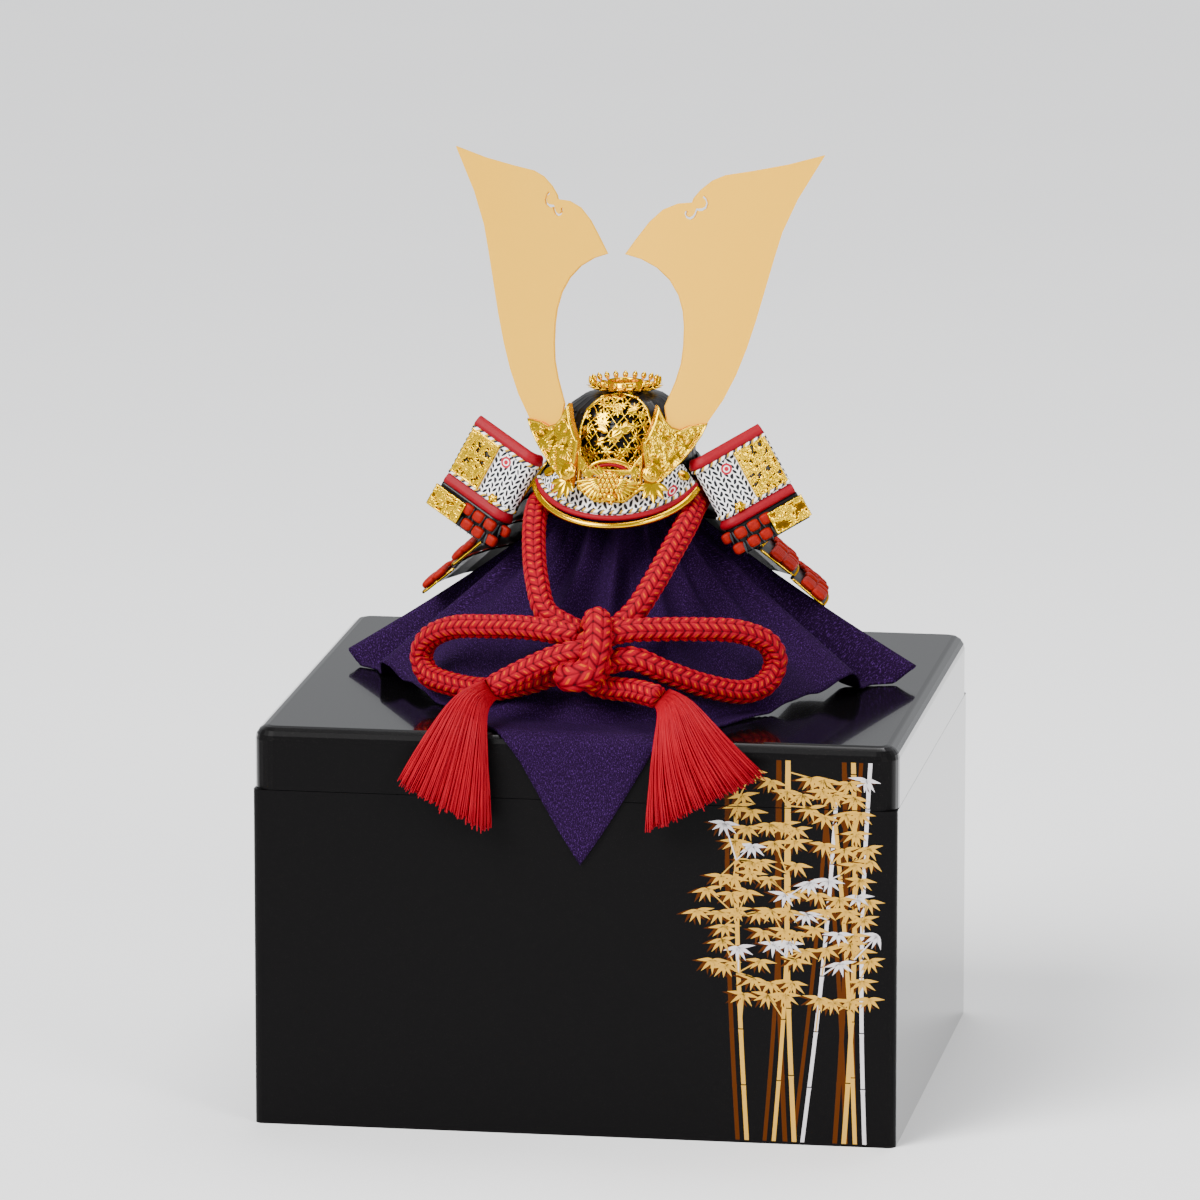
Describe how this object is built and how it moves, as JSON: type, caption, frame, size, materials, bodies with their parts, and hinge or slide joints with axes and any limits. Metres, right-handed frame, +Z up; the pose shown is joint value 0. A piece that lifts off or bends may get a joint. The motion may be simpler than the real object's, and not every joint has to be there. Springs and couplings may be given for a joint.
{
  "type": "samurai helmet ornament on a cloth-draped stand and lacquered box",
  "caption": "Small display kabuto with gilt crest horns and red cords on a purple crepe cloth over a hidden stand, on a black lacquered storage box.",
  "frame": {"origin": "middle of the storage box's underside, on the surface it stands on", "axes": "+Z up, -Y towards the front where the helmet's visor and the cords face, +X to the viewer's right"},
  "size_m": [0.34, 0.3205, 0.4911],
  "materials": {
    "lacquer": "black lacquer with gold bamboo",
    "wood": "plain turned wood",
    "crepe": "purple crepe",
    "bright_gilt": "polished gilt",
    "pale_gilt": "satin pale gilt",
    "leather": "white leather with a dark leaf pattern",
    "black_iron": "black lacquered metal",
    "red_silk": "braided red silk"
  },
  "bodies": {
    "root": {"box_body": "lacquer", "box_lid": "lacquer", "stand_post": "wood", "drape_cloth": "crepe", "helmet_bowl": "black_iron", "crown_ring": "bright_gilt", "front_plate": "bright_gilt", "visor": "leather", "visor_rim": "bright_gilt", "visor_scroll_left": "bright_gilt", "visor_scroll_right": "bright_gilt", "horn_left": "pale_gilt", "horn_right": "pale_gilt", "horn_base": "bright_gilt", "sparrow_ornament": "bright_gilt", "front_arch": "bright_gilt", "bamboo_leaves_left": "bright_gilt", "bamboo_leaves_right": "bright_gilt", "rosette_left": "bright_gilt", "rosette_right": "bright_gilt", "ear_plate_left": "leather", "ear_plate_right": "leather", "ear_gold_left": "bright_gilt", "ear_gold_right": "bright_gilt", "ear_stud_left": "bright_gilt", "ear_stud_right": "bright_gilt", "lower_ear_left": "red_silk", "lower_ear_right": "red_silk", "lower_ear_gold_left": "bright_gilt", "lower_ear_gold_right": "bright_gilt", "neck_lame_1": "black_iron", "neck_lame_2": "black_iron", "neck_lame_3": "black_iron", "neck_lame_4": "black_iron", "lacing_row_1": "red_silk", "lacing_row_2": "red_silk", "lacing_row_3": "red_silk", "lacing_row_4": "red_silk", "chin_cord": "red_silk", "bow_knot": "red_silk", "bow_loop_left": "red_silk", "bow_loop_right": "red_silk", "cord_tail_left": "red_silk", "cord_tail_right": "red_silk", "tassel_left": "red_silk", "tassel_right": "red_silk"}
  },
  "joints": []
}
